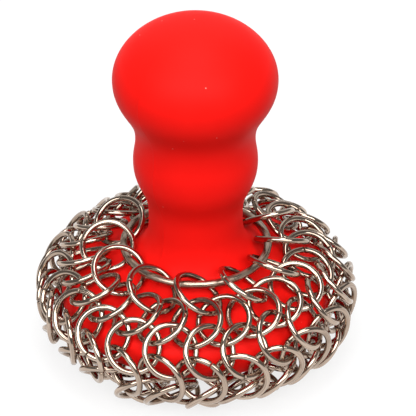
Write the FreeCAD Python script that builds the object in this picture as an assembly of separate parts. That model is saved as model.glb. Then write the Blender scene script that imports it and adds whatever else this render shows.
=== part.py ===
"""Pot scrubber: a one-piece silicone knob handle whose dome sits in a pouch of linked steel rings.

The pouch is a four-in-one chain mail. It hangs on a thicker ring round the handle's neck, runs over the
shoulder and the rim of the dome and closes under the base on one centre ring. The rings are laid out in
rows, then settled: wires that come too close are pushed apart until every ring hangs free in its links.
Millimetres and degrees. The origin is the middle of the face that rests on the floor, +Z is up.
"""
import FreeCAD
import Part
import math
import os
import random

# Handle, from the dome up to the crown
rim_radius = 31.2
rim_round = 5.2
shoulder_slope = 20.0
bell_round = 11.0
neck_radius = 10.75
neck_length = 3.1
bulge_radius = 14.05
bulge_rise = 13.3
waist_radius = 13.45
waist_rise = 6.25
knob_radius = 18.3
knob_rise = 14.65
crown_rise = 14.1

# Fullness of the handle's curves: how far each one runs on before it turns, as a share of its height or radius
swell_fullness = 0.45
crown_fullness = 0.535

# Steel rings of the pouch and the thicker ring round the neck
ring_outer = 13.0
wire = 1.35
neck_ring_radius = 16.6
neck_ring_wire = 1.8
seam = 0.1
neck_seam_turn = -75.0

# Room for the mail between the dome and the outside, more of it for the neck row that stands up on its
# ring and under the base, and the gaps kept inside it
mail_room = 6.0
neck_ease = 2.5
base_ease = 2.4
rest_gap = 0.3
link_gap = 0.3

# Spacing of the rings, as shares of a ring's outer diameter
ring_share = 0.71
row_share = 0.57
hang_share = 0.12
closing_share = 0.8

# Turn of each row against the row above it that the links leave free
row_twist = 1.5

# Settling: steps for one sector, then rounds ring by ring, each after small random shifts of the loose rings
sector_steps = 220
sector_growth = 0.35
loose_rounds = 6
loose_steps = 12
loose_growth = 0.7
loose_shift = 0.4
loose_tilt = 4.5
growing_share = 0.6
link_give = 0.6
room_give = 0.4
loose_seed = 7
seam_seed = 11

UP = FreeCAD.Vector(0, 0, 1)
wire_radius = wire / 2
ring_radius = ring_outer / 2 - wire_radius
lift = mail_room / 2 + rest_gap
base_height = mail_room + base_ease + rest_gap
rim_centre = FreeCAD.Vector(rim_radius - rim_round, 0, base_height + rim_round)
shoulder_face = math.radians(90 - shoulder_slope)
shoulder_out = FreeCAD.Vector(math.cos(shoulder_face), 0, math.sin(shoulder_face))
shoulder_down = FreeCAD.Vector(math.sin(shoulder_face), 0, -math.cos(shoulder_face))


def along_shoulder(start, radius):
    """Point at the given radius on the shoulder's straight line through start."""
    return start + shoulder_down * ((radius - start.x) / shoulder_down.x)


# The shoulder's line on the dome, and the hollow bell that carries it up into the neck
shoulder_foot = rim_centre + shoulder_out * rim_round
bell_foot = along_shoulder(shoulder_foot, neck_radius + bell_round * (1 - shoulder_out.x))
bell_centre = bell_foot + shoulder_out * bell_round
neck_height = bell_centre.z

# Middle line of the mail: shoulder line, round of the rim, then straight in under the base
fold_radius = rim_round + lift
path_foot = rim_centre + shoulder_out * fold_radius
neck_ring_height = along_shoulder(path_foot, neck_ring_radius).z
path_start = along_shoulder(path_foot, neck_ring_radius) + shoulder_down * (hang_share * ring_outer)
shoulder_run = (path_foot - path_start).Length
rim_run = fold_radius * (shoulder_face + math.pi / 2)
base_run = rim_centre.x - closing_share * ring_outer

# Ring and row counts: the neck row has half the full count, the last two rows a half and a quarter
full_count = 4 * round(2 * math.pi * (rim_centre.x + fold_radius) / (4 * ring_share * ring_outer))
row_steps = round((shoulder_run + rim_run + base_run) / (row_share * ring_outer))
row_pitch = (shoulder_run + rim_run + base_run) / row_steps
row_counts = [full_count // 2] + [full_count] * (row_steps - 2) + [full_count // 2, full_count // 4]
sectors = full_count // 4

samples = 20
circle_angles = [2 * math.pi * i / samples for i in range(samples)]
circle_points = [(math.cos(angle), math.sin(angle)) for angle in circle_angles]


def turned(vector, angle):
    """Vector turned about the handle's axis by an angle in radians."""
    c = math.cos(angle)
    s = math.sin(angle)
    return FreeCAD.Vector(vector.x * c - vector.y * s, vector.x * s + vector.y * c, vector.z)


def path_place(run):
    """Point on the mail's middle line at this run from its start, and its outward direction, at angle 0."""
    if run < shoulder_run:
        return path_start + shoulder_down * run, shoulder_out
    if run < shoulder_run + rim_run:
        face = shoulder_face - (run - shoulder_run) / fold_radius
        out = FreeCAD.Vector(math.cos(face), 0, math.sin(face))
        return rim_centre + out * fold_radius, out
    inward = run - shoulder_run - rim_run
    return rim_centre - UP * fold_radius - FreeCAD.Vector(inward, 0, 0), -UP


def dome_distance(point):
    """Distance of a point from the dome's surface, with the outward direction there."""
    radius = math.hypot(point.x, point.y)
    flat = FreeCAD.Vector(radius, 0, point.z)
    arm = flat - rim_centre
    face = math.atan2(arm.z, arm.x)
    if -math.pi / 2 <= face <= shoulder_face:
        distance = arm.Length - rim_round
        out = arm.normalize()
    elif arm.z < 0:
        distance = -arm.z - rim_round
        out = -UP
    elif (flat - bell_foot).dot(shoulder_down) > 0:
        distance = arm.dot(shoulder_out) - rim_round
        out = shoulder_out
    else:
        arm = bell_centre - flat
        distance = bell_round - arm.Length
        out = arm.normalize()
    return distance, FreeCAD.Vector(out.x * point.x / radius, out.x * point.y / radius, out.z)


def row_room(row):
    """Room that a row has between the dome and the outside."""
    return mail_room + neck_ease if row == 0 else mail_room


class Ring:
    """A wire ring: its row, the centre and the axis of its circle, and whether it may move."""

    def __init__(self, row, centre, axis, radius=ring_radius, half_wire=wire_radius, free=True):
        self.row = row
        self.centre = centre
        self.axis = axis
        self.radius = radius
        self.half_wire = half_wire
        self.free = free

    def turned(self, angle):
        centre = turned(self.centre, angle)
        return Ring(self.row, centre, turned(self.axis, angle), self.radius, self.half_wire, self.free)

    def points(self):
        aside = FreeCAD.Vector(1, 0, 0) if abs(self.axis.x) < abs(self.axis.y) else FreeCAD.Vector(0, 1, 0)
        across = self.axis.cross(aside).normalize() * self.radius
        along = self.axis.cross(across)
        return [self.centre + across * c + along * s for c, s in circle_points]

    def nearest(self, point):
        arm = point - self.centre
        arm = arm - self.axis * arm.dot(self.axis)
        return self.centre + arm * (self.radius / arm.Length)

    def gap_square(self, point):
        arm = point - self.centre
        height = arm.dot(self.axis)
        reach = math.sqrt(max(arm.dot(arm) - height * height, 0)) - self.radius
        return height * height + reach * reach

    def ease(self, point, direction):
        """How readily the ring gives way at a point of its circle, and the turn that it makes there."""
        turn = (point - self.centre).cross(direction) * (2 / self.radius ** 2)
        if not self.free:
            return 0.0, turn
        return 1 + turn.dot(turn) * self.radius ** 2 / 2, turn

    def push(self, direction, turn, amount):
        if self.free:
            self.centre = self.centre + direction * amount
            self.axis = (self.axis + (turn * amount).cross(self.axis)).normalize()


def close_points(ring, points, other, wanted):
    """Places where two rings' circles pass each other nearer than wanted."""
    gaps = [other.gap_square(point) for point in points]
    reach = (wanted + wire) ** 2
    for i, gap in enumerate(gaps):
        if gap < reach and gap <= gaps[i - 1] and gap < gaps[(i + 1) % samples]:
            point = points[i]
            for _ in range(6):
                facing = other.nearest(point)
                point = ring.nearest(facing)
            distance = (point - facing).Length
            if distance < wanted:
                yield point, facing, distance


def part_rings(ring, other, angle, wanted):
    """Push two rings apart, the second one standing at a turn about the axis."""
    there = other.turned(angle)
    for point, facing, distance in close_points(ring, ring.points(), there, wanted):
        direction = (point - facing).normalize()
        ring_ease, ring_turn = ring.ease(point, direction)
        other_ease, other_turn = there.ease(facing, direction)
        amount = link_give * (wanted - distance) / (ring_ease + other_ease)
        ring.push(direction, ring_turn, amount)
        other.push(turned(direction, -angle), turned(other_turn, -angle), -amount)


def keep_in_room(ring):
    """Push a ring off the dome and back inside the mail's room."""
    for point in ring.points():
        distance, out = dome_distance(point)
        nearest = rest_gap + ring.half_wire
        farthest = rest_gap + row_room(ring.row) + base_ease * max(0, -out.z) - ring.half_wire
        excess = min(max(distance, nearest), farthest) - distance
        if excess:
            ease, turn = ring.ease(point, out)
            ring.push(out, turn, room_give * excess / ease)


def neighbours(rings, copies):
    """Pairs of rings near enough to touch, with the second one's sector."""
    reach = 2 * ring_radius + 2 * wire
    pairs = []
    for i, ring in enumerate(rings):
        for j in range(i, len(rings)):
            for sector in range(copies):
                own = i == j and (sector == 0 or sector > copies // 2)
                spare = not rings[j].free and sector > 0
                if own or spare:
                    continue
                angle = 2 * math.pi * sector / copies
                if (ring.centre - turned(rings[j].centre, angle)).Length < reach:
                    pairs.append((ring, rings[j], angle))
    return pairs


def settle(rings, neck_ring, copies, steps, growth):
    """Grow the wires from a share of their size and push the rings apart, at rest and with rows turned."""
    pairs = neighbours(rings, copies)
    for step in range(steps):
        grown = min(1.0, growth + step / (growing_share * steps))
        for ring, other, angle in pairs:
            twist = grown * math.radians(row_twist) * (other.row - ring.row)
            for offset in (-twist, 0.0, twist) if twist else (0.0,):
                part_rings(ring, other, angle + offset, grown * (wire + link_gap))
        for ring in rings:
            if ring.free:
                keep_in_room(ring)
            if ring.row == 0:
                part_rings(ring, neck_ring, 0.0, grown * (wire_radius + neck_ring.half_wire + link_gap))


def first_rings():
    """One sector of the rows as laid out, each row leaning the other way from the last, and the centre ring."""
    rings = []
    for row, count in enumerate(row_counts):
        point, out = path_place(row * row_pitch)
        centre = point + out * ((row_room(row) - mail_room) / 2)
        lean = math.asin((row_room(row) / 2 - wire_radius) / ring_radius)
        side = 1 if row % 2 == 0 else -1
        offset = 0.5 if count == full_count and row % 2 == 0 else 0.0
        axis = FreeCAD.Vector(0, side * math.sin(lean), 0) + out * math.cos(lean)
        for i in range(count // sectors):
            angle = 2 * math.pi * (i + offset) / count
            rings.append(Ring(row, turned(centre, angle), turned(axis, angle)))
    middle = UP * (base_height - lift)
    rings.append(Ring(len(row_counts), middle, UP, free=False))
    return rings


def all_round(rings):
    """The sector's rings repeated all round."""
    whole = []
    for ring in rings:
        if ring.free:
            whole += [ring.turned(2 * math.pi * i / sectors) for i in range(sectors)]
        else:
            whole.append(ring)
    return whole


def loosen(rings, chance):
    """Shift and tilt each ring a little, as hand-linked rings hang. The closing row and its centre ring stay."""
    for ring in rings:
        if ring.row < len(row_counts) - 1:
            shift = FreeCAD.Vector(*[chance.uniform(-1, 1) for _ in range(3)])
            tilt = FreeCAD.Vector(*[chance.uniform(-1, 1) for _ in range(3)])
            ring.push(shift, tilt * (math.radians(loose_tilt) / loose_shift), loose_shift)


def make_mail():
    """The neck ring and all rings of the pouch, settled in their links."""
    neck_ring = Ring(0, UP * neck_ring_height, UP, neck_ring_radius, neck_ring_wire / 2, free=False)
    sector = first_rings()
    settle(sector, neck_ring, sectors, sector_steps, sector_growth)
    rings = all_round(sector)
    chance = random.Random(loose_seed)
    for _ in range(loose_rounds):
        loosen(rings, chance)
        settle(rings, neck_ring, 1, loose_steps, loose_growth)
    return neck_ring, rings


def ring_solid(ring, seam_angle):
    """A round wire bent into a ring whose ends butt at a narrow seam."""
    section = Part.makeCircle(ring.half_wire, FreeCAD.Vector(ring.radius, 0, 0), FreeCAD.Vector(0, 1, 0))
    opening = math.degrees(seam / ring.radius)
    bent = Part.Face(Part.Wire(section)).revolve(FreeCAD.Vector(0, 0, 0), UP, 360 - opening)
    spin = FreeCAD.Rotation(UP, seam_angle)
    tilt = FreeCAD.Rotation(UP, ring.axis)
    bent.Placement = FreeCAD.Placement(ring.centre, tilt.multiply(spin))
    return bent


def swell(low_radius, low, high_radius, high):
    """Smooth side of the handle between two heights, upright at both."""
    reach = swell_fullness * (high - low)
    curve = Part.BezierCurve()
    curve.setPoles([
        FreeCAD.Vector(low_radius, 0, low),
        FreeCAD.Vector(low_radius, 0, low + reach),
        FreeCAD.Vector(high_radius, 0, high - reach),
        FreeCAD.Vector(high_radius, 0, high),
    ])
    return curve.toShape()


def crown(radius, low, high):
    """Full round of the knob's top, upright at the side and flat at the axis."""
    curve = Part.BezierCurve()
    curve.setPoles([
        FreeCAD.Vector(radius, 0, low),
        FreeCAD.Vector(radius, 0, low + crown_fullness * (high - low)),
        FreeCAD.Vector(crown_fullness * radius, 0, high),
        FreeCAD.Vector(0, 0, high),
    ])
    return curve.toShape()


def handle_solid():
    """Knob, waist, bulge, neck, bell and dome in one turned piece."""
    neck_top = FreeCAD.Vector(neck_radius, 0, neck_height + neck_length)
    bulge_height = neck_top.z + bulge_rise
    waist_height = bulge_height + waist_rise
    knob_height = waist_height + knob_rise
    top = knob_height + crown_rise
    centre = FreeCAD.Vector(0, 0, base_height)
    rim_start = rim_centre - UP * rim_round
    rim_side = rim_centre + FreeCAD.Vector(rim_round, 0, 0)
    neck = FreeCAD.Vector(neck_radius, 0, neck_height)
    bell_half = bell_centre - (shoulder_out + FreeCAD.Vector(1, 0, 0)).normalize() * bell_round
    outline = [
        Part.makeLine(centre, rim_start),
        Part.Arc(rim_start, rim_side, shoulder_foot).toShape(),
        Part.makeLine(shoulder_foot, bell_foot),
        Part.Arc(bell_foot, bell_half, neck).toShape(),
        Part.makeLine(neck, neck_top),
        swell(neck_radius, neck_top.z, bulge_radius, bulge_height),
        swell(bulge_radius, bulge_height, waist_radius, waist_height),
        swell(waist_radius, waist_height, knob_radius, knob_height),
        crown(knob_radius, knob_height, top),
        Part.makeLine(FreeCAD.Vector(0, 0, top), centre),
    ]
    return Part.Face(Part.Wire(outline)).revolve(FreeCAD.Vector(0, 0, 0), UP, 360)


def lowest(ring):
    """Height of the lowest point of a ring's wire."""
    return ring.centre.z - ring.radius * math.hypot(ring.axis.x, ring.axis.y) - ring.half_wire


def save(name, solids, floor):
    """Write one node, moved so that the pouch's lowest wire is on the floor."""
    shape = solids[0] if len(solids) == 1 else Part.makeCompound(solids)
    shape.translate(UP * -floor)
    shape.exportStep(os.path.join("parts", name + ".step"))
    print(name, len(solids), "valid", shape.isValid(), "volume", round(shape.Volume, 1))


def main():
    os.makedirs("parts", exist_ok=True)
    neck_ring, rings = make_mail()
    floor = min(lowest(ring) for ring in rings)
    chance = random.Random(seam_seed)
    save("handle", [handle_solid()], floor)
    save("neck_ring", [ring_solid(neck_ring, neck_seam_turn)], floor)
    for row in range(len(row_counts)):
        solids = [ring_solid(ring, chance.uniform(0, 360)) for ring in rings if ring.row == row]
        save("mail_row_" + str(row + 1), solids, floor)
    save("centre_ring", [ring_solid(rings[-1], 0)], floor)


main()
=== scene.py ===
"""Looks of a pot scrubber: a red silicone handle whose dome sits in a pouch of linked steel wire rings.

The handle's outline, the place of every ring and the wire sizes are read from the frame.
Lengths are in metres.
"""

import math

import bpy
import numpy as np
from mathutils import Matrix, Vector


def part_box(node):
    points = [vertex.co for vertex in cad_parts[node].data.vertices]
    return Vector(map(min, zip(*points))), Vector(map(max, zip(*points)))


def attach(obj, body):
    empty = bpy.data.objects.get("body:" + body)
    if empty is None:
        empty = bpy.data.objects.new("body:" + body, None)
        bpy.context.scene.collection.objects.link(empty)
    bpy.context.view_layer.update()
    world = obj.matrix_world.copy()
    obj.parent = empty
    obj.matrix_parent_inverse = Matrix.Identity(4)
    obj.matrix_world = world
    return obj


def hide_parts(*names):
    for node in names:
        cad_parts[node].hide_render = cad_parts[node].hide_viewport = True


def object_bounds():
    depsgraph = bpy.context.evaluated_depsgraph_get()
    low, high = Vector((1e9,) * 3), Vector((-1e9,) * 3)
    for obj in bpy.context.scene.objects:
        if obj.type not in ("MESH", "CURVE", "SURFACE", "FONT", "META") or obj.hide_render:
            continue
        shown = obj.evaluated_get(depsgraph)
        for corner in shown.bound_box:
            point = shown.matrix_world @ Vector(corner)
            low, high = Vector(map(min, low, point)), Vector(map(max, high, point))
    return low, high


bl_info = {
    "name": "Pot scrubber looks",
    "version": (1, 0, 0),
    "blender": (4, 5, 0),
    "location": "3D View > Sidebar > Scrubber",
    "description": "Builds the silicone handle, the linked steel rings and the studio of a pot scrubber",
    "category": "Object",
}

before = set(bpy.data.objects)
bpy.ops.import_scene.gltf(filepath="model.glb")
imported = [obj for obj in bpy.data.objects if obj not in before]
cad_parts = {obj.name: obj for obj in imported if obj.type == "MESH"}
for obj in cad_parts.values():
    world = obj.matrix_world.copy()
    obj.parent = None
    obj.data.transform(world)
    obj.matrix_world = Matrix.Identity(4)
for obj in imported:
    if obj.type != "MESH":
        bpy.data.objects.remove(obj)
cad_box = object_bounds()
handle_low, handle_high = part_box("handle")

MM = 0.001
FULL_TURN = 2 * math.pi
WHITE = (1.0, 1.0, 1.0, 1.0)
MAIL_ROWS = tuple(f"mail_row_{row}" for row in range(1, 9))
SEED = 11

# Steps and steel of the thick neck ring, which differ from those of the rings that hang on it.
NECK_STEPS_ALONG = 96
NECK_STEPS_ROUND = 14
NECK_STEEL = (0.72, 0.585, 0.48)


# Reading the frame

# Digits to which corners, pairs of height and radius, and turns are rounded before they are compared.
CORNER_DIGITS = 7
OUTLINE_DIGITS = 6
TURN_DIGITS = 4
# Turns on a ring that are closer than this belong to one row of points.
ROW_TURN = 0.006
# Heights on the handle that are closer than this count as one.
LEAST_RISE = 2e-5
# Steps over the handle's flat underside.
UNDER_STEPS = 12


def merged(node):
    """Corner points and triangles of a frame node, with corners that lie on each other made one."""
    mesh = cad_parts[node].data
    points = np.empty(len(mesh.vertices) * 3)
    mesh.vertices.foreach_get("co", points)
    points = points.reshape(-1, 3)
    mesh.calc_loop_triangles()
    corners = np.empty(len(mesh.loop_triangles) * 3, dtype=np.int32)
    mesh.loop_triangles.foreach_get("vertices", corners)
    rounded = np.round(points, CORNER_DIGITS)
    first, place = np.unique(rounded, axis=0, return_index=True, return_inverse=True)[1:]
    return points[first], place.ravel()[corners].reshape(-1, 3)


def ring_labels(points, corners):
    """Number of the ring that each point is on.

    Every triangle gives its corners the lowest label among them, until nothing changes.
    """
    label = np.arange(len(points))
    while True:
        lowest = np.repeat(label[corners].min(axis=1), 3)
        passed = label.copy()
        np.minimum.at(passed, corners.ravel(), lowest)
        passed = passed[passed]
        if np.array_equal(passed, label):
            return np.unique(label, return_inverse=True)[1].ravel()
        label = passed


def ring_place(points):
    """Centre, direction of the cut, axis, radius to the wire's middle and wire radius of one ring.

    They come from the points on its wire. The axis is the direction in which the points spread least. The
    centre comes from a circle fitted in the ring's plane. The cut is where two rows of points lie closest.
    """
    middle = points.mean(axis=0)
    widest = np.linalg.svd(points - middle, full_matrices=False)[2]
    axis = widest[2]
    outward = middle - np.array([0.0, 0.0, handle_low.z])
    axis = axis if axis @ outward > 0 else -axis
    flat = (points - middle) @ widest[:2].T
    fit = np.column_stack([2 * flat, np.ones(len(flat))])
    shift = np.linalg.lstsq(fit, (flat**2).sum(axis=1), rcond=None)[0][:2]
    centre = middle + shift @ widest[:2]
    flat = flat - shift
    turn = np.unique(np.round(np.arctan2(flat[:, 1], flat[:, 0]), TURN_DIGITS))
    step = np.diff(np.append(turn, turn[0] + FULL_TURN))
    step[step < ROW_TURN] = FULL_TURN
    cut = turn[step.argmin()] + step.min() / 2
    towards = math.cos(cut) * widest[0] + math.sin(cut) * widest[1]
    reach = np.hypot(flat[:, 0], flat[:, 1])
    across = (points - centre) @ axis
    wire = (across.max() - across.min()) / 2
    return centre, towards, axis, reach.max() - wire, wire


def ring_places(node):
    """Places of all rings of a node, one array for each of the five values that ring_place gives."""
    points, corners = merged(node)
    label = ring_labels(points, corners)
    found = [ring_place(points[label == ring]) for ring in range(label.max() + 1)]
    return [np.array(values) for values in zip(*found)]


def handle_outline(steps):
    """Radius and height along the handle's outline from the middle of its flat underside to the crown.

    The frame's own points give the outline: above the flat underside each height has one radius. A cubic is
    laid through them with slopes taken from their neighbours, and is read at even steps of its run.
    """
    points = merged("handle")[0]
    pairs = np.column_stack([points[:, 2], np.hypot(points[:, 0], points[:, 1])])
    height, radius = np.unique(np.round(pairs, OUTLINE_DIGITS), axis=0).T
    low = height.min()
    edge = radius[height == low].max()
    apart = np.append(True, np.diff(height) > LEAST_RISE)
    apart[-1] = True
    above = np.column_stack([radius, height])[(height > low + LEAST_RISE) & apart]
    knots = np.vstack([[edge, low], above])
    run = np.append(0.0, np.cumsum(np.hypot(*np.diff(knots, axis=0).T)))
    slope = np.gradient(knots, run, axis=0)
    slope[0] = (1.0, 0.0)
    slope[-1] = (-1.0, 0.0)
    at = np.linspace(0.0, run[-1], steps)
    piece = np.clip(np.searchsorted(run, at, side="right") - 1, 0, len(run) - 2)
    length = (run[1:] - run[:-1])[piece][:, None]
    share = ((at - run[piece]) / length[:, 0])[:, None]
    curve = (
        (2 * share**3 - 3 * share**2 + 1) * knots[piece]
        + (share**3 - 2 * share**2 + share) * length * slope[piece]
        + (3 * share**2 - 2 * share**3) * knots[piece + 1]
        + (share**3 - share**2) * length * slope[piece + 1]
    )
    flat = np.linspace(0.0, edge, UNDER_STEPS)[:-1]
    under = np.column_stack([flat, np.full(len(flat), low)])
    return np.vstack([under, curve])


# Surfaces

# Places beside the parting line, in half widths of it, at which the handle has points.
PARTING_COLUMNS = np.array([-6.0, -3.0, -1.5, -0.75, 0.0, 0.75, 1.5, 3.0, 6.0])
# Even steps round the handle that are closer than this turn to such a place are left out.
PARTING_CLEAR = 0.004
# Steps of a wire behind its cut face, and the start of its even steps, in lengths of the chamfer.
CUT_STEPS = np.array([0.0, 1.0, 1.6])
EVEN_START = 2.5


def grid_faces(rows, columns):
    """Four-cornered faces of a grid whose last column joins its first, and the two fans that close its ends.

    The points are the grid's, row by row, then one point for each end.
    """
    row, column = np.meshgrid(np.arange(rows - 1), np.arange(columns), indexing="ij")
    here, above = row * columns, (row + 1) * columns
    after = (column + 1) % columns
    quads = np.stack([here + column, here + after, above + after, above + column], axis=-1).reshape(-1, 4)
    column = np.arange(columns)
    after = (column + 1) % columns
    first_end = np.full(columns, rows * columns)
    last_row = (rows - 1) * columns
    first_fan = np.column_stack([first_end, after, column])
    last_fan = np.column_stack([first_end + 1, last_row + column, last_row + after])
    return quads, np.vstack([first_fan, last_fan])


def grid_runs(along, columns):
    """Place along and round the grid for each corner of grid_faces, as two numbers from 0 to 1."""
    row, column = np.meshgrid(np.arange(len(along) - 1), np.arange(columns), indexing="ij")
    u = np.stack([along[row], along[row], along[row + 1], along[row + 1]], axis=-1)
    v = np.stack([column, column + 1, column + 1, column], axis=-1) / columns
    quads = np.stack([u, v], axis=-1).reshape(-1, 4, 2)
    column = np.arange(columns)
    fan = np.column_stack([column + 0.5, column + 1, column]) / columns
    first = np.dstack([np.full((columns, 3), along[0]), fan])
    last = np.dstack([np.full((columns, 3), along[-1]), fan[:, [0, 2, 1]]])
    return quads, np.vstack([first, last])


def placed(name, data):
    """A new object of the scene that holds a mesh, a lamp or a camera."""
    made = bpy.data.objects.new(name, data)
    bpy.context.collection.objects.link(made)
    return made


def put_mesh(name, points, quads, fans, runs=None, tones=None):
    """Makes one object at the origin from arrays of points and faces.

    The runs are its map of places along and round the wire, the tones one number per point.
    """
    mesh = bpy.data.meshes.new(name)
    mesh.from_pydata(points.tolist(), [], quads.tolist() + fans.tolist())
    mesh.shade_smooth()
    if runs is not None:
        mesh.uv_layers.new(name="wire_run").data.foreach_set("uv", runs.ravel())
    if tones is not None:
        mesh.attributes.new("ring_tone", "FLOAT", "POINT").data.foreach_set("value", tones)
    mesh.validate()
    return placed(name, mesh)


def turn_apart(turns, others):
    """Turn from each of some turns to the closest of some others, the short way round."""
    return np.abs((turns[:, None] - others + np.pi) % FULL_TURN - np.pi).min(axis=1)


def handle_surface(looks):
    """Points of the handle: its outline turned about the upright axis, with a parting line on two sides.

    A point at turn t and step s is (r cos t, r sin t, z) with r and z from the outline. Along the parting
    line the surface rises on its own normal by a bell curve of the distance from the line, less where it
    faces up or down.
    """
    outline = handle_outline(looks.steps_along)
    along = np.gradient(outline, axis=0)
    normal = np.column_stack([along[:, 1], -along[:, 0]])
    normal /= np.linalg.norm(normal, axis=1)[:, None]
    even = np.linspace(0.0, FULL_TURN, looks.steps_round, endpoint=False)
    lines = looks.parting_turn + np.array([0.0, np.pi])
    near = (lines[:, None] + looks.parting_width / handle_high.x * PARTING_COLUMNS).ravel()
    turn = np.sort(np.append(even[turn_apart(even, near) > PARTING_CLEAR], near % FULL_TURN))
    radius, height = outline[1:-1, 0, None], outline[1:-1, 1, None]
    out, up = normal[1:-1, 0, None], normal[1:-1, 1, None]
    bell = np.exp(-((turn_apart(turn, lines) * radius / looks.parting_width) ** 2))
    rise = looks.parting_height * bell * (1.0 - up**2)
    radius, height = radius + rise * out, height + rise * up
    grid = np.stack([radius * np.cos(turn), radius * np.sin(turn), height], axis=-1)
    ends = np.array([[0.0, 0.0, outline[0, 1]], [0.0, 0.0, outline[-1, 1]]])
    quads, fans = grid_faces(len(outline) - 2, len(turn))
    return np.vstack([grid.reshape(-1, 3), ends]), quads, fans


def wire_steps(looks, radius, wire):
    """Turns along a ring from one side of its cut to the other, and the share of the full wire at each.

    The wire is thinner on the two cut faces and full a chamfer's length from them.
    """
    half = looks.cut_gap / radius / 2
    chamfer = looks.cut_chamfer / radius
    body = np.linspace(
        half + EVEN_START * chamfer, FULL_TURN - half - EVEN_START * chamfer, looks.steps_along
    )
    start = half + chamfer * CUT_STEPS
    turn = np.concatenate([start, body, FULL_TURN - start[::-1]])
    share = np.ones(len(turn))
    share[[0, -1]] = 1.0 - looks.cut_chamfer / wire
    return turn, share


def ring_surface(looks, places, seed):
    """Points of many rings: a round wire carried along a circle in each ring's own plane.

    A point at turn t along and turn w round the wire is
    c + (R + r cos w)(x cos t + y sin t) + a (r sin w + d),
    where R has a small oval part that goes as cos 2t, and d takes the two cut ends a little out of line by a
    cubic of t. The wire's section is a polygon, with r at its corners taken so that it has the area of the
    round wire. The grid of a ring runs the other way round than that of the handle, so its faces are turned.
    """
    centre, towards, axis, radius, wire = places
    count = len(centre)
    turn, share = wire_steps(looks, radius.mean(), wire.mean())
    step = FULL_TURN / looks.steps_round
    around = np.pi + np.linspace(0.0, FULL_TURN, looks.steps_round, endpoint=False)
    chance = np.random.default_rng(seed)
    oval = looks.oval * chance.uniform(-1.0, 1.0, count)[:, None]
    offset = looks.cut_offset * chance.uniform(-1.0, 1.0, count)[:, None]
    lean = chance.uniform(0.0, FULL_TURN, count)[:, None]
    tone = chance.uniform(0.0, 1.0, count)
    big = radius[:, None] + oval * np.cos(2 * turn + lean)
    drift = offset * (turn / np.pi - 1.0) ** 3
    thick = wire[:, None] * share * np.sqrt(step / np.sin(step))
    side = np.cross(axis, towards)
    spoke = towards[:, None, :] * np.cos(turn)[:, None] + side[:, None, :] * np.sin(turn)[:, None]
    reach = big[:, :, None] + thick[:, :, None] * np.cos(around)
    across = drift[:, :, None] + thick[:, :, None] * np.sin(around)
    grid = (
        centre[:, None, None, :]
        + reach[..., None] * spoke[:, :, None, :]
        + across[..., None] * axis[:, None, None, :]
    )
    cut = [0, -1]
    ends = (
        centre[:, None, :]
        + big[:, cut, None] * spoke[:, cut, :]
        + drift[:, cut, None] * axis[:, None, :]
    )
    points = np.concatenate([grid.reshape(count, -1, 3), ends], axis=1)
    first = (np.arange(count) * points.shape[1])[:, None, None]
    quads, fans = grid_faces(len(turn), looks.steps_round)
    quads = (quads[:, ::-1] + first).reshape(-1, 4)
    fans = (fans[:, ::-1] + first).reshape(-1, 3)
    runs = [
        np.tile(corners[:, ::-1].reshape(-1, 2), (count, 1))
        for corners in grid_runs(turn / FULL_TURN, looks.steps_round)
    ]
    tones = np.repeat(tone, points.shape[1])
    return points.reshape(-1, 3), quads, fans, np.vstack(runs), tones


# Finishes

# Dust on the silicone: cells to a metre, share of the cells without a speck, rim and core of a speck as a
# share of its cell, and how much it covers.
DUST_CELLS = 420.0
DUST_NONE = 0.93
DUST_RIM, DUST_CORE = 0.085, 0.035
DUST_COVER = 0.55

# Gloss of the silicone seen head-on, and its roughness from cloud to cloud.
SILICONE_GLOSS = 0.07
SILICONE_ROUGH = (0.48, 0.56)

# Where the painted shade on the inner side of a wire starts and where it is full, as the way round from its
# outermost line.
PAINTED_INNER_SHADE_SPAN = (0.26, 0.5)
# How far apart in their noise the streaks of the dullest and of the brightest ring lie.
STREAK_SHIFT = 57.0
# How much darker steel the streaks, the painted shade on the inner side and the clouds take, and how much
# tint the cut.
STREAK_SHADE = 0.4
PAINTED_INNER_SHADE = 0.35
CLOUD_SHADE = 0.3
CUT_SHADE = 0.6
# Roughness that the streaks and the cut add, and the share of the fine grain in the bump.
STREAK_ROUGH = 0.10
CUT_ROUGH = 0.15
GRAIN_SHARE = 0.5


def add(tree, kind, inputs=None, **settings):
    """Adds a node. An input that is given as a socket is linked, any other value is set on it."""
    made = tree.nodes.new(kind)
    for name, value in settings.items():
        setattr(made, name, value)
    for name, value in (inputs or {}).items():
        if isinstance(value, bpy.types.NodeSocket):
            tree.links.new(value, made.inputs[name])
        else:
            made.inputs[name].default_value = value
    return made


def maths(tree, operation, first, second=0.0):
    """Output of a Math node."""
    return add(tree, "ShaderNodeMath", {0: first, 1: second}, operation=operation).outputs[0]


def mixed(tree, share, first, second):
    """Colour between two colours by a share from 0 to 1."""
    return add(tree, "ShaderNodeMix", {0: share, 6: first, 7: second}, data_type="RGBA").outputs[2]


def spread(tree, value, low, high, to_low=0.0, to_high=1.0):
    """A value taken smoothly from one range to another and kept inside it."""
    inputs = {0: value, 1: low, 2: high, 3: to_low, 4: to_high}
    return add(tree, "ShaderNodeMapRange", inputs, interpolation_type="SMOOTHSTEP").outputs[0]


def new_group(name, inputs, outputs):
    """An empty shader group with named number and vector sockets, and its two ends."""
    group = bpy.data.node_groups.new(name, "ShaderNodeTree")
    for label, kind, default in inputs:
        socket = group.interface.new_socket(label, in_out="INPUT", socket_type=kind)
        if default is not None:
            socket.default_value = default
    for label in outputs:
        group.interface.new_socket(label, in_out="OUTPUT", socket_type="NodeSocketFloat")
    return group, group.nodes.new("NodeGroupInput").outputs, group.nodes.new("NodeGroupOutput").inputs


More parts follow.
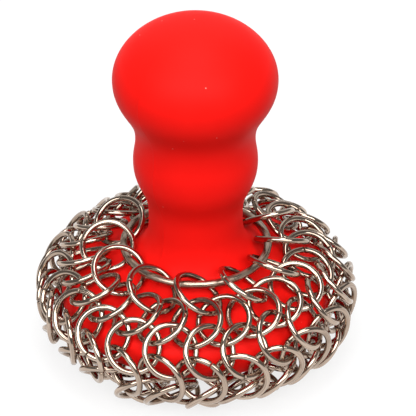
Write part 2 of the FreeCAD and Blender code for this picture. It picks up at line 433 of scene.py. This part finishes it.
def grain_group():
    """Fine unevenness of a surface: a small grain and a slow change over it, both from 0 to 1."""
    group, given, out = new_group(
        "surface_grain",
        [
            ("Place", "NodeSocketVector", None),
            ("Grain", "NodeSocketFloat", 2000.0),
            ("Drift", "NodeSocketFloat", 80.0),
        ],
        ["Height", "Tone"],
    )
    place = given["Place"]
    fine = add(group, "ShaderNodeTexNoise", {"Vector": place, "Scale": given["Grain"], "Detail": 3.0})
    slow = add(group, "ShaderNodeTexNoise", {"Vector": place, "Scale": given["Drift"], "Detail": 2.0})
    group.links.new(fine.outputs[0], out["Height"])
    group.links.new(slow.outputs[0], out["Tone"])
    return group


def drawn_wire_group():
    """Marks of drawn wire: streaks that run along the wire, painted shade on its inner side and the tint
    beside its cut.

    Run is the place along and round the wire, Tone a number that differs from ring to ring.
    """
    group, given, out = new_group(
        "drawn_wire",
        [
            ("Run", "NodeSocketVector", None),
            ("Tone", "NodeSocketFloat", 0.5),
            ("Streaks along", "NodeSocketFloat", 9.0),
            ("Streaks round", "NodeSocketFloat", 14.0),
            ("Tint reach", "NodeSocketFloat", 0.03),
        ],
        ["Streaks", "Painted inner shade", "Cut"],
    )
    run, round_wire, _ = add(group, "ShaderNodeSeparateXYZ", {0: given["Run"]}).outputs
    place = add(
        group,
        "ShaderNodeCombineXYZ",
        {
            0: maths(group, "MULTIPLY", run, given["Streaks along"]),
            1: maths(group, "MULTIPLY", round_wire, given["Streaks round"]),
            2: maths(group, "MULTIPLY", given["Tone"], STREAK_SHIFT),
        },
    )
    streaks = add(group, "ShaderNodeTexNoise", {"Vector": place.outputs[0], "Scale": 1.0, "Detail": 4.0})
    from_outer = maths(group, "ABSOLUTE", maths(group, "SUBTRACT", round_wire, 0.5))
    from_cut = maths(group, "MINIMUM", run, maths(group, "SUBTRACT", 1.0, run))
    past_cut = spread(group, maths(group, "DIVIDE", from_cut, given["Tint reach"]), 0.0, 1.0)
    group.links.new(streaks.outputs[0], out["Streaks"])
    # The inner side of the wire, turned towards the ring's middle, is a mask of painted shade.
    group.links.new(spread(group, from_outer, *PAINTED_INNER_SHADE_SPAN), out["Painted inner shade"])
    group.links.new(maths(group, "SUBTRACT", 1.0, past_cut), out["Cut"])
    return group


def colour(value):
    """A colour of four numbers from a colour property."""
    return (*value, 1.0)


def new_material(name):
    """A material with its empty node tree and its shader."""
    material = bpy.data.materials.new(name)
    material.use_nodes = True
    tree = material.node_tree
    tree.nodes.clear()
    shader = tree.nodes.new("ShaderNodeBsdfPrincipled")
    output = tree.nodes.new("ShaderNodeOutputMaterial")
    tree.links.new(shader.outputs[0], output.inputs[0])
    return material, tree, shader


def group_node(tree, name, make, inputs):
    """Outputs of a node of a shared group, which is built the first time that it is asked for."""
    group = bpy.data.node_groups.get(name) or make()
    return add(tree, "ShaderNodeGroup", inputs, node_tree=group).outputs


def moulded_silicone(looks):
    """Soft matt red silicone: slow clouds in its colour, a fine moulded grain and pale specks of dust."""
    material, tree, shader = new_material("moulded_silicone")
    place = add(tree, "ShaderNodeTexCoord").outputs["Object"]
    grain = group_node(tree, "surface_grain", grain_group, {"Place": place, "Grain": 2600.0, "Drift": 55.0})
    cells = add(tree, "ShaderNodeTexVoronoi", {"Vector": place, "Scale": DUST_CELLS, "Randomness": 1.0})
    picked = add(tree, "ShaderNodeSeparateColor", {0: cells.outputs["Color"]}).outputs[0]
    speck = spread(tree, cells.outputs["Distance"], low=DUST_RIM, high=DUST_CORE)
    dust = maths(tree, "MULTIPLY", speck, maths(tree, "GREATER_THAN", picked, DUST_NONE))
    clouds = spread(tree, grain["Tone"], low=0.3, high=0.7)
    base = mixed(tree, clouds, colour(looks.deep_red), colour(looks.red))
    base = mixed(tree, maths(tree, "MULTIPLY", dust, DUST_COVER), base, colour(looks.dust))
    tree.links.new(base, shader.inputs["Base Color"])
    rough_low, rough_high = SILICONE_ROUGH
    rough = spread(tree, grain["Tone"], low=0.2, high=0.8, to_low=rough_low, to_high=rough_high)
    tree.links.new(rough, shader.inputs["Roughness"])
    bump = add(tree, "ShaderNodeBump", {"Strength": 0.12, "Distance": 0.00006, "Height": grain["Height"]})
    tree.links.new(bump.outputs[0], shader.inputs["Normal"])
    shader.inputs["Specular IOR Level"].default_value = SILICONE_GLOSS
    return material


def wire_steel(name, looks, along, around, reach, rough):
    """Bright drawn steel wire: streaks along it, painted shade on its inner side, a brown tint at its cut.

    Every ring has a tone of its own. Along and around are the streaks on the length and round the wire, reach
    is that of the tint as a share of the length, and rough is the least roughness of the wire.
    """
    material, tree, shader = new_material(name)
    run = add(tree, "ShaderNodeUVMap", uv_map="wire_run").outputs[0]
    tone = add(tree, "ShaderNodeAttribute", attribute_name="ring_tone").outputs["Fac"]
    place = add(tree, "ShaderNodeTexCoord").outputs["Object"]
    grain = group_node(tree, "surface_grain", grain_group, {"Place": place, "Grain": 3500.0, "Drift": 240.0})
    wire = group_node(
        tree,
        "drawn_wire",
        drawn_wire_group,
        {"Run": run, "Tone": tone, "Streaks along": along, "Streaks round": around, "Tint reach": reach},
    )
    base = mixed(tree, spread(tree, tone, 0.0, 1.0), colour(looks.steel_dull), colour(looks.steel))
    # The streaks and clouds are the wire's own darker marks; the inner side of the wire takes painted shade.
    for share in (
        spread(tree, wire["Streaks"], low=0.56, high=0.36, to_high=STREAK_SHADE),
        maths(tree, "MULTIPLY", wire["Painted inner shade"], PAINTED_INNER_SHADE),
        spread(tree, grain["Tone"], low=0.55, high=0.75, to_high=CLOUD_SHADE),
    ):
        base = mixed(tree, share, base, colour(looks.streak_and_painted_shade))
    base = mixed(tree, maths(tree, "MULTIPLY", wire["Cut"], CUT_SHADE), base, colour(looks.cut_tint))
    tree.links.new(base, shader.inputs["Base Color"])
    streaky = spread(tree, wire["Streaks"], low=0.3, high=0.7, to_low=rough, to_high=rough + STREAK_ROUGH)
    rougher = maths(tree, "ADD", streaky, maths(tree, "MULTIPLY", wire["Cut"], CUT_ROUGH))
    tree.links.new(rougher, shader.inputs["Roughness"])
    height = maths(tree, "ADD", wire["Streaks"], maths(tree, "MULTIPLY", grain["Height"], GRAIN_SHARE))
    bump = add(tree, "ShaderNodeBump", {"Strength": 0.1, "Distance": 0.00005, "Height": height})
    tree.links.new(bump.outputs[0], shader.inputs["Normal"])
    shader.inputs["Metallic"].default_value = 1.0
    return material


def seen_ray(tree):
    """1 where the camera, a gloss or a clear piece looks, and 0 for light that falls on a surface."""
    path = add(tree, "ShaderNodeLightPath").outputs
    reflected = maths(tree, "MAXIMUM", path["Is Glossy Ray"], path["Is Transmission Ray"])
    return maths(tree, "MAXIMUM", path["Is Camera Ray"], reflected)


def backdrop_light(tree, shaded, strength):
    """Adds white light to a surface where the camera, a gloss or a clear piece looks at it."""
    strength = maths(tree, "MULTIPLY", seen_ray(tree), strength)
    glow = add(tree, "ShaderNodeEmission", {"Color": WHITE, "Strength": strength})
    return add(tree, "ShaderNodeAddShader", {0: shaded, 1: glow.outputs[0]}).outputs[0]


# Settings


class ScrubberHandleLooks(bpy.types.PropertyGroup):
    """Sizes and colours of the handle."""

    red: bpy.props.FloatVectorProperty(
        name="Red",
        description="Colour of the silicone",
        subtype="COLOR",
        size=3,
        default=(0.93, 0.009, 0.006),
    )
    deep_red: bpy.props.FloatVectorProperty(
        name="Deep red",
        description="Darker clouds in the silicone",
        subtype="COLOR",
        size=3,
        default=(0.88, 0.0075, 0.005),
    )
    dust: bpy.props.FloatVectorProperty(
        name="Dust",
        description="Pale specks on the silicone",
        subtype="COLOR",
        size=3,
        default=(0.80, 0.45, 0.40),
    )
    parting_height: bpy.props.FloatProperty(
        name="Parting line height",
        description="Rise of the mould's parting line",
        unit="LENGTH",
        default=0.035 * MM,
    )
    parting_width: bpy.props.FloatProperty(
        name="Parting line width",
        description="Half width of the mould's parting line",
        unit="LENGTH",
        default=0.14 * MM,
    )
    parting_turn: bpy.props.FloatProperty(
        name="Parting line turn",
        description="Turn of the parting line about the handle",
        unit="ROTATION",
        default=math.radians(228.0),
    )
    steps_along: bpy.props.IntProperty(
        name="Steps along", description="Steps along the handle's outline", default=230
    )
    steps_round: bpy.props.IntProperty(
        name="Steps round", description="Steps round the handle", default=160
    )


class ScrubberRingLooks(bpy.types.PropertyGroup):
    """Sizes and colours of the wire rings."""

    steel: bpy.props.FloatVectorProperty(
        name="Steel",
        description="Bright steel wire",
        subtype="COLOR",
        size=3,
        default=(0.585, 0.466, 0.375),
    )
    steel_dull: bpy.props.FloatVectorProperty(
        name="Dull steel",
        description="Wire of the duller rings",
        subtype="COLOR",
        size=3,
        default=(0.47, 0.367, 0.292),
    )
    # Colour of the wire's darker streaks and clouds, and of the painted shade on its inner side.
    streak_and_painted_shade: bpy.props.FloatVectorProperty(
        name="Streaks",
        description="Darker streaks and the inner side of the wire",
        subtype="COLOR",
        size=3,
        default=(0.13, 0.09, 0.067),
    )
    cut_tint: bpy.props.FloatVectorProperty(
        name="Cut tint",
        description="Tint of the wire beside its cut",
        subtype="COLOR",
        size=3,
        default=(0.17, 0.12, 0.085),
    )
    cut_gap: bpy.props.FloatProperty(
        name="Cut gap",
        description="Gap between the two ends of a ring",
        unit="LENGTH",
        default=0.1 * MM,
    )
    cut_chamfer: bpy.props.FloatProperty(
        name="Cut chamfer",
        description="Rounding of the wire's two ends",
        unit="LENGTH",
        default=0.16 * MM,
    )
    cut_offset: bpy.props.FloatProperty(
        name="Cut offset",
        description="Most that an end of the wire stands out of line",
        unit="LENGTH",
        default=0.05 * MM,
    )
    oval: bpy.props.FloatProperty(
        name="Oval",
        description="Most that a ring is out of round",
        unit="LENGTH",
        default=0.04 * MM,
    )
    steps_along: bpy.props.IntProperty(name="Steps along", description="Steps along a ring", default=44)
    steps_round: bpy.props.IntProperty(name="Steps round", description="Steps round the wire", default=10)


class ScrubberStageLooks(bpy.types.PropertyGroup):
    """Floor, light and camera."""

    floor: bpy.props.FloatVectorProperty(
        name="Floor",
        description="Colour of the floor",
        subtype="COLOR",
        size=3,
        default=(0.20, 0.20, 0.20),
    )
    floor_white: bpy.props.FloatProperty(
        name="Floor white", description="White added to the floor as it is seen", default=0.78
    )
    floor_far: bpy.props.FloatProperty(
        name="Floor far", description="White added where the floor is far from the lamps", default=0.96
    )
    fill: bpy.props.FloatProperty(
        name="Fill", description="Strength of the light from all round", default=0.13
    )
    fill_back: bpy.props.FloatProperty(
        name="Fill back", description="Strength of that light from behind", default=0.6
    )
    ceiling: bpy.props.FloatProperty(
        name="Ceiling", description="How bright the surround is seen overhead", default=0.18
    )
    above: bpy.props.FloatProperty(
        name="Above", description="Power of the soft lamp above", unit="POWER", default=2.6
    )
    above_size: bpy.props.FloatProperty(
        name="Above size", description="Side of the soft lamp above", unit="LENGTH", default=0.4
    )
    above_distance: bpy.props.FloatProperty(
        name="Above distance", description="Distance of the soft lamp above", unit="LENGTH", default=0.77
    )
    front: bpy.props.FloatProperty(
        name="Front", description="Power of the wide soft lamp in front", unit="POWER", default=18.2
    )
    front_width: bpy.props.FloatProperty(
        name="Front width", description="Width of the lamp in front", unit="LENGTH", default=1.8
    )
    front_height: bpy.props.FloatProperty(
        name="Front height", description="Height of the lamp in front", unit="LENGTH", default=0.6
    )
    front_rise: bpy.props.FloatProperty(
        name="Front rise",
        description="Angle at which the lamp in front stands above the floor",
        unit="ROTATION",
        default=math.radians(47.0),
    )
    front_distance: bpy.props.FloatProperty(
        name="Front distance", description="Distance of the lamp in front", unit="LENGTH", default=1.04
    )
    back: bpy.props.FloatProperty(
        name="Back", description="Power of the soft lamp behind", unit="POWER", default=2.5
    )
    back_width: bpy.props.FloatProperty(
        name="Back width", description="Width of the lamp behind", unit="LENGTH", default=1.6
    )
    back_height: bpy.props.FloatProperty(
        name="Back height", description="Height of the lamp behind", unit="LENGTH", default=0.8
    )
    back_rise: bpy.props.FloatProperty(
        name="Back rise",
        description="Angle at which the lamp behind stands above the floor",
        unit="ROTATION",
        default=math.radians(36.0),
    )
    back_distance: bpy.props.FloatProperty(
        name="Back distance", description="Distance of the lamp behind", unit="LENGTH", default=1.2
    )
    camera_aim: bpy.props.FloatProperty(
        name="Camera aim",
        description="Height on the handle's axis that the camera and the lamps face",
        unit="LENGTH",
        default=36.0 * MM,
    )
    camera_rise: bpy.props.FloatProperty(
        name="Camera rise",
        description="Angle at which the camera looks down",
        unit="ROTATION",
        default=math.radians(33.68),
    )
    camera_distance: bpy.props.FloatProperty(
        name="Camera distance",
        description="Distance of the camera from the object",
        unit="LENGTH",
        default=0.516,
    )
    camera_side: bpy.props.FloatProperty(
        name="Camera side",
        description="How far the camera stands to the right of the axis",
        unit="LENGTH",
        default=2.8 * MM,
    )
    camera_lens: bpy.props.FloatProperty(
        name="Lens", description="Focal length in millimetres", default=196.1
    )


# Pieces


def finished(piece, material, body, node):
    """Gives a piece its finish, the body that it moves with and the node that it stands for."""
    piece.data.materials.append(material)
    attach(piece, body)
    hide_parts(node)


class SCRUBBER_OT_handle(bpy.types.Operator):
    """Builds the silicone handle with its dome."""

    bl_idname = "scrubber.handle"
    bl_label = "Handle"

    def execute(self, context):
        looks = context.scene.scrubber_handle
        piece = put_mesh("silicone_handle", *handle_surface(looks))
        finished(piece, moulded_silicone(looks), "handle", "handle")
        return {"FINISHED"}


class SCRUBBER_OT_mail(bpy.types.Operator):
    """Builds the rows of linked rings and the ring in the middle of the base."""

    bl_idname = "scrubber.mail"
    bl_label = "Linked rings"

    def execute(self, context):
        looks = context.scene.scrubber_rings
        steel = wire_steel("bright_ring_wire", looks, along=4.0, around=22.0, reach=0.03, rough=0.06)
        for seed, node in enumerate(MAIL_ROWS):
            piece = put_mesh(f"{node}_rings", *ring_surface(looks, ring_places(node), SEED + seed))
            finished(piece, steel, node.replace("mail_", ""), node)
        piece = put_mesh("centre_wire_ring", *ring_surface(looks, ring_places("centre_ring"), SEED))
        finished(piece, steel, "centre_ring", "centre_ring")
        return {"FINISHED"}


class SCRUBBER_OT_neck_ring(bpy.types.Operator):
    """Builds the thicker ring round the neck."""

    bl_idname = "scrubber.neck_ring"
    bl_label = "Neck ring"

    def execute(self, context):
        looks = context.scene.scrubber_neck
        steel = wire_steel("neck_ring_wire", looks, along=26.0, around=12.0, reach=0.02, rough=0.24)
        piece = put_mesh("neck_wire_ring", *ring_surface(looks, ring_places("neck_ring"), SEED))
        finished(piece, steel, "neck_ring", "neck_ring")
        return {"FINISHED"}


# Stage

# Half the side of the floor, and the distances over which it is seen ever whiter.
FLOOR_REACH = 6.0
FLOOR_FADE = (0.3, 1.4)
# How much of a direction points up, over which the surround goes from white to the ceiling's grey.
SKY_FADE = (0.03, 0.14)
# How much of a direction points back, over which the light from all round grows.
FILL_FADE = (0.0, 0.8)
# Width of the camera's picture in millimetres.
SENSOR_WIDTH = 36.0


def facing(thing, aim, rise, distance):
    """Stands a lamp or the camera at a distance from a point that it faces.

    The rise is the angle above the floor, from the front over the top to the back.
    """
    towards = Vector((0.0, math.cos(rise), -math.sin(rise)))
    thing.location = aim - towards * distance
    thing.rotation_euler = towards.to_track_quat("-Z", "Y").to_euler()


class SCRUBBER_OT_stage(bpy.types.Operator):
    """Builds the floor, the lamps, the world and the camera."""

    bl_idname = "scrubber.stage"
    bl_label = "Stage"

    def execute(self, context):
        looks = context.scene.scrubber_stage
        self.floor(looks)
        self.world(context, looks)
        aim = Vector((0.0, 0.0, looks.camera_aim))
        above = (math.pi / 2, looks.above_distance)
        front = (looks.front_rise, looks.front_distance)
        behind = (math.pi - looks.back_rise, looks.back_distance)
        self.lamp("lamp_above", aim, above, (looks.above_size, looks.above_size), looks.above)
        self.lamp("lamp_front", aim, front, (looks.front_width, looks.front_height), looks.front)
        self.lamp("lamp_back", aim, behind, (looks.back_width, looks.back_height), looks.back)
        self.camera(context, looks, aim)
        context.scene.view_settings.view_transform = "Standard"
        return {"FINISHED"}

    def floor(self, looks):
        """A wide flat floor under the object, white where it is seen, that takes the shadow."""
        mesh = bpy.data.meshes.new("floor")
        side, low = FLOOR_REACH, cad_box[0].z
        corners = [(-side, -side, low), (side, -side, low), (side, side, low), (-side, side, low)]
        mesh.from_pydata(corners, [], [(0, 1, 2, 3)])
        floor = placed("floor", mesh)
        material, tree, shader = new_material("pale_floor")
        shader.inputs["Base Color"].default_value = colour(looks.floor)
        shader.inputs["Roughness"].default_value = 1.0
        shader.inputs["Specular IOR Level"].default_value = 0.0
        place = add(tree, "ShaderNodeTexCoord").outputs["Object"]
        away = add(tree, "ShaderNodeVectorMath", {0: place}, operation="LENGTH").outputs["Value"]
        white = spread(tree, away, *FLOOR_FADE, looks.floor_white, looks.floor_far)
        lit = backdrop_light(tree, shader.outputs[0], white)
        tree.links.new(lit, tree.nodes["Material Output"].inputs[0])
        mesh.materials.append(material)

    def world(self, context, looks):
        """A surround that is seen white at the horizon and dim overhead.

        The light that it gives is stronger from behind than from the front.
        """
        world = bpy.data.worlds.new("studio")
        world.use_nodes = True
        tree = world.node_tree
        tree.nodes.clear()
        direction = add(tree, "ShaderNodeTexCoord").outputs["Generated"]
        _, back, up = add(tree, "ShaderNodeSeparateXYZ", {0: direction}).outputs
        sky = spread(tree, up, *SKY_FADE, 1.0, looks.ceiling)
        light = spread(tree, back, *FILL_FADE, looks.fill, looks.fill_back)
        strength = spread(tree, seen_ray(tree), 0.0, 1.0, light, sky)
        background = add(tree, "ShaderNodeBackground", {"Color": WHITE, "Strength": strength})
        output = tree.nodes.new("ShaderNodeOutputWorld")
        tree.links.new(background.outputs[0], output.inputs[0])
        context.scene.world = world

    def lamp(self, name, aim, place, size, power):
        """A soft rectangular lamp that faces the object, from a place given as rise and distance."""
        light = bpy.data.lights.new(name, "AREA")
        light.shape = "RECTANGLE"
        light.size, light.size_y = size
        light.energy = power
        facing(placed(name, light), aim, *place)

    def camera(self, context, looks, aim):
        """The camera, in front of the object and looking down at it."""
        lens = bpy.data.cameras.new("camera")
        lens.lens = looks.camera_lens
        lens.sensor_width = SENSOR_WIDTH
        camera = placed("camera", lens)
        aside = Vector((looks.camera_side, 0.0, 0.0))
        facing(camera, aim + aside, looks.camera_rise, looks.camera_distance)
        context.scene.camera = camera


class SCRUBBER_PT_looks(bpy.types.Panel):
    """Lists the pieces of the scrubber and their settings."""

    bl_label = "Pot scrubber"
    bl_space_type = "VIEW_3D"
    bl_region_type = "UI"
    bl_category = "Scrubber"

    def draw(self, context):
        scene = context.scene
        for looks, operator in (
            (scene.scrubber_handle, SCRUBBER_OT_handle),
            (scene.scrubber_rings, SCRUBBER_OT_mail),
            (scene.scrubber_neck, SCRUBBER_OT_neck_ring),
            (scene.scrubber_stage, SCRUBBER_OT_stage),
        ):
            box = self.layout.box()
            box.operator(operator.bl_idname)
            for name in looks.bl_rna.properties.keys():
                if name not in ("rna_type", "name"):
                    box.prop(looks, name)


CLASSES = (
    ScrubberHandleLooks,
    ScrubberRingLooks,
    ScrubberStageLooks,
    SCRUBBER_OT_handle,
    SCRUBBER_OT_mail,
    SCRUBBER_OT_neck_ring,
    SCRUBBER_OT_stage,
    SCRUBBER_PT_looks,
)


def register():
    """Registers the settings, the operators and the panel."""
    for entry in CLASSES:
        bpy.utils.register_class(entry)
    bpy.types.Scene.scrubber_handle = bpy.props.PointerProperty(type=ScrubberHandleLooks)
    bpy.types.Scene.scrubber_rings = bpy.props.PointerProperty(type=ScrubberRingLooks)
    bpy.types.Scene.scrubber_neck = bpy.props.PointerProperty(type=ScrubberRingLooks)
    bpy.types.Scene.scrubber_stage = bpy.props.PointerProperty(type=ScrubberStageLooks)


def unregister():
    """Removes what register added."""
    del bpy.types.Scene.scrubber_stage
    del bpy.types.Scene.scrubber_neck
    del bpy.types.Scene.scrubber_rings
    del bpy.types.Scene.scrubber_handle
    for entry in reversed(CLASSES):
        bpy.utils.unregister_class(entry)


def main():
    """Builds the scene."""
    register()
    neck = bpy.context.scene.scrubber_neck
    neck.steps_along = NECK_STEPS_ALONG
    neck.steps_round = NECK_STEPS_ROUND
    neck.steel = NECK_STEEL
    bpy.ops.scrubber.stage()
    bpy.ops.scrubber.handle()
    bpy.ops.scrubber.neck_ring()
    bpy.ops.scrubber.mail()


if __name__ == "__main__":
    main()
